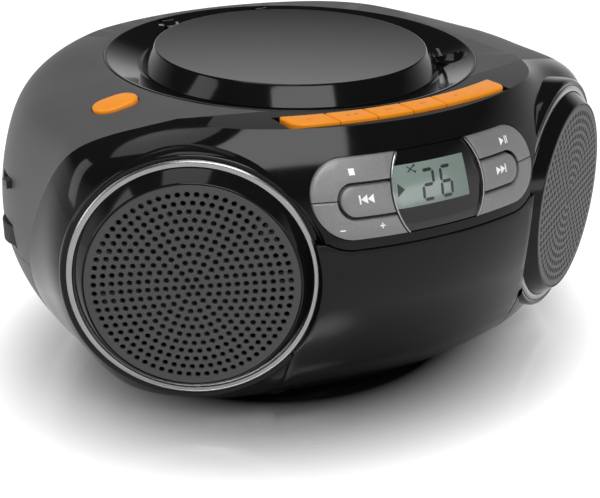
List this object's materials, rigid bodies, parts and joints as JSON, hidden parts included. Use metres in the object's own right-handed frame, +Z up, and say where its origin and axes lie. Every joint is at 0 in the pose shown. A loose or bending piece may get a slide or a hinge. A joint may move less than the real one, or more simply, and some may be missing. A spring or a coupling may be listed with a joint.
{
  "type": "portable CD and cassette boombox",
  "caption": "Compact pebble-shaped boombox: round speakers at both front corners, a disc lid on top, cassette door in front, orange keys.",
  "frame": {"origin": "middle of the box around the whole part, at the level of the feet", "axes": "+Z up, +X to the right seen from the front, -Y out of the front"},
  "size_m": [0.3176, 0.2605, 0.1486],
  "materials": {
    "matte_black_plastic": "satin",
    "gloss_black_plastic": "high gloss",
    "orange_plastic": "satin",
    "grey_button_plastic": "satin",
    "dark_plastic": "satin",
    "grey_plastic": "satin",
    "display_window_plastic": "high gloss",
    "display_glass": "clear",
    "grille_steel": "satin",
    "chromed_trim": "polished",
    "steel": "brushed",
    "brass": "turned",
    "rubber": "matte",
    "circuit_board": "satin"
  },
  "bodies": {
    "cabinet": {"front_panel": "gloss_black_plastic", "top_cover": "matte_black_plastic", "bottom_cabinet": "matte_black_plastic", "cd_surround": "gloss_black_plastic", "hinge_pins": "steel", "disc_motor": "steel", "pickup_chassis": "steel", "sled_rods": "steel", "deck_chassis": "steel", "deck_motor": "steel", "drive_belt": "rubber", "key_shaft": "steel", "control_bezel": "dark_plastic", "display_window": "display_window_plastic", "display_module": "display_glass", "main_board": "circuit_board", "left_grille": "grille_steel", "right_grille": "grille_steel", "left_speaker_bezel": "gloss_black_plastic", "right_speaker_bezel": "gloss_black_plastic", "left_trim_ring": "chromed_trim", "right_trim_ring": "chromed_trim", "left_driver": "steel", "right_driver": "steel", "headphone_jack": "dark_plastic", "aerial_base": "dark_plastic", "power_transformer": "steel", "ac_inlet": "dark_plastic", "feet": "rubber", "case_screws": "steel"},
    "lid": {"cd_lid": "gloss_black_plastic", "disc_clamp": "dark_plastic"},
    "turntable": {"turntable": "grey_plastic"},
    "laser": {"laser_pickup": "dark_plastic"},
    "door": {"cassette_door": "gloss_black_plastic", "cassette_holder": "dark_plastic"},
    "supply_reel": {"supply_reel": "grey_plastic"},
    "takeup_reel": {"takeup_reel": "grey_plastic"},
    "flywheel": {"capstan_flywheel": "brass"},
    "pulley": {"motor_pulley": "brass"},
    "head_slide": {"head_slide": "steel"},
    "pinch_roller": {"pinch_roller": "rubber"},
    "pause_key": {"pause_key": "orange_plastic"},
    "stop_open_key": {"stop_open_key": "orange_plastic"},
    "forward_key": {"forward_key": "orange_plastic"},
    "rewind_key": {"rewind_key": "orange_plastic"},
    "play_key": {"play_key": "orange_plastic"},
    "bass_button": {"bass_button": "orange_plastic"},
    "stop_button": {"stop_button": "grey_button_plastic"},
    "previous_button": {"previous_button": "grey_button_plastic"},
    "album_rocker": {"album_rocker": "grey_button_plastic"},
    "play_pause_button": {"play_pause_button": "grey_button_plastic"},
    "next_button": {"next_button": "grey_button_plastic"},
    "mode_rocker": {"mode_rocker": "grey_button_plastic"},
    "volume_wheel": {"volume_wheel": "dark_plastic"},
    "tuning_wheel": {"tuning_wheel": "dark_plastic"},
    "source_switch": {"source_switch": "dark_plastic"},
    "aerial": {"aerial_tube": "chromed_trim"},
    "aerial_rod": {"aerial_rod": "chromed_trim"},
    "battery_door": {"battery_door": "matte_black_plastic"}
  },
  "joints": [
    {"name": "lid_hinge", "type": "hinge", "parent": "cabinet", "child": "lid", "pos_m": [0, 0.09154, 0.14213], "axis": [-1, 0, 0], "range_deg": [0, 62]},
    {"name": "disc_spin", "type": "hinge", "parent": "cabinet", "child": "turntable", "pos_m": [0, 0.00792, 0.12971], "axis": [0, -0.0349, 0.9994], "continuous": true},
    {"name": "laser_travel", "type": "slide", "parent": "cabinet", "child": "laser", "axis": [0, -0.9994, -0.0349], "range_m": [0, 0.023]},
    {"name": "door_hinge", "type": "hinge", "parent": "cabinet", "child": "door", "pos_m": [0, -0.0925, 0.018], "axis": [1, 0, 0], "range_deg": [0, 30]},
    {"name": "supply_spin", "type": "hinge", "parent": "cabinet", "child": "supply_reel", "pos_m": [-0.02125, -0.0855, 0.055], "axis": [0, -1, 0], "continuous": true},
    {"name": "takeup_spin", "type": "hinge", "parent": "cabinet", "child": "takeup_reel", "pos_m": [0.02125, -0.0855, 0.055], "axis": [0, -1, 0], "continuous": true},
    {"name": "capstan_spin", "type": "hinge", "parent": "cabinet", "child": "flywheel", "pos_m": [0.022, -0.0815, 0.0768], "axis": [0, -1, 0], "continuous": true},
    {"name": "pulley_spin", "type": "hinge", "parent": "cabinet", "child": "pulley", "pos_m": [-0.03, -0.0795, 0.038], "axis": [0, -1, 0], "continuous": true},
    {"name": "head_travel", "type": "slide", "parent": "cabinet", "child": "head_slide", "axis": [0, 0, -1], "range_m": [0, 0.0036], "stiffness_N_per_m": 4, "springref_m": -0.06},
    {"name": "roller_spin", "type": "hinge", "parent": "head_slide", "child": "pinch_roller", "pos_m": [0.022, -0.0975, 0.088], "axis": [0, -1, 0], "continuous": true},
    {"name": "pause_press", "type": "hinge", "parent": "cabinet", "child": "pause_key", "pos_m": [0, -0.0695, 0.1265], "axis": [1, 0, 0], "range_deg": [0, 5.5], "stiffness_Nm_per_rad": 0.6, "springref_deg": -2.86},
    {"name": "stop_open_press", "type": "hinge", "parent": "cabinet", "child": "stop_open_key", "pos_m": [0, -0.0695, 0.1265], "axis": [1, 0, 0], "range_deg": [0, 5.5], "stiffness_Nm_per_rad": 0.6, "springref_deg": -2.86},
    {"name": "forward_press", "type": "hinge", "parent": "cabinet", "child": "forward_key", "pos_m": [0, -0.0695, 0.1265], "axis": [1, 0, 0], "range_deg": [0, 5.5], "stiffness_Nm_per_rad": 0.6, "springref_deg": -2.86},
    {"name": "rewind_press", "type": "hinge", "parent": "cabinet", "child": "rewind_key", "pos_m": [0, -0.0695, 0.1265], "axis": [1, 0, 0], "range_deg": [0, 5.5], "stiffness_Nm_per_rad": 0.6, "springref_deg": -2.86},
    {"name": "play_press", "type": "hinge", "parent": "cabinet", "child": "play_key", "pos_m": [0, -0.0695, 0.1265], "axis": [1, 0, 0], "range_deg": [0, 5.5], "stiffness_Nm_per_rad": 0.001, "springref_deg": -100.27},
    {"name": "bass_press", "type": "slide", "parent": "cabinet", "child": "bass_button", "axis": [0.1908, 0, -0.9816], "range_m": [0, 0.0012], "stiffness_N_per_m": 400, "springref_m": -0.0006},
    {"name": "stop_press", "type": "slide", "parent": "cabinet", "child": "stop_button", "axis": [0, 0.9426, -0.3338], "range_m": [0, 0.0005], "stiffness_N_per_m": 500, "springref_m": -0.0005},
    {"name": "previous_press", "type": "slide", "parent": "cabinet", "child": "previous_button", "axis": [0, 0.9426, -0.3338], "range_m": [0, 0.0005], "stiffness_N_per_m": 500, "springref_m": -0.0005},
    {"name": "album_press", "type": "slide", "parent": "cabinet", "child": "album_rocker", "axis": [0, 0.9426, -0.3338], "range_m": [0, 0.0005], "stiffness_N_per_m": 500, "springref_m": -0.0005},
    {"name": "play_pause_press", "type": "slide", "parent": "cabinet", "child": "play_pause_button", "axis": [0, 0.9426, -0.3338], "range_m": [0, 0.0005], "stiffness_N_per_m": 500, "springref_m": -0.0005},
    {"name": "next_press", "type": "slide", "parent": "cabinet", "child": "next_button", "axis": [0, 0.9426, -0.3338], "range_m": [0, 0.0005], "stiffness_N_per_m": 500, "springref_m": -0.0005},
    {"name": "mode_press", "type": "slide", "parent": "cabinet", "child": "mode_rocker", "axis": [0, 0.9426, -0.3338], "range_m": [0, 0.0005], "stiffness_N_per_m": 500, "springref_m": -0.0005},
    {"name": "volume_turn", "type": "hinge", "parent": "cabinet", "child": "volume_wheel", "pos_m": [-0.1388, 0.0125, 0.072], "axis": [0, 0, 1], "range_deg": [0, 280]},
    {"name": "tuning_turn", "type": "hinge", "parent": "cabinet", "child": "tuning_wheel", "pos_m": [0.1388, 0.0125, 0.072], "axis": [0, 0, 1], "range_deg": [0, 280]},
    {"name": "source_slide", "type": "slide", "parent": "cabinet", "child": "source_switch", "axis": [0, 1, 0], "range_m": [0, 0.012]},
    {"name": "aerial_swing", "type": "hinge", "parent": "cabinet", "child": "aerial", "pos_m": [0.062, 0.1265, 0.126], "axis": [0, 1, 0], "range_deg": [0, 180]},
    {"name": "aerial_extend", "type": "slide", "parent": "aerial", "child": "aerial_rod", "axis": [-1, 0, 0], "range_m": [0, 0.1]},
    {"name": "battery_door_slide", "type": "slide", "parent": "cabinet", "child": "battery_door", "axis": [0, 1, 0], "range_m": [0, 0.012]}
  ],
  "couplings": [
    {"joint": "pulley_spin", "follows": "capstan_spin", "ratio": 3.2414},
    {"joint": "play_press", "follows": "head_travel", "rad_per_m": 26.66}
  ]
}
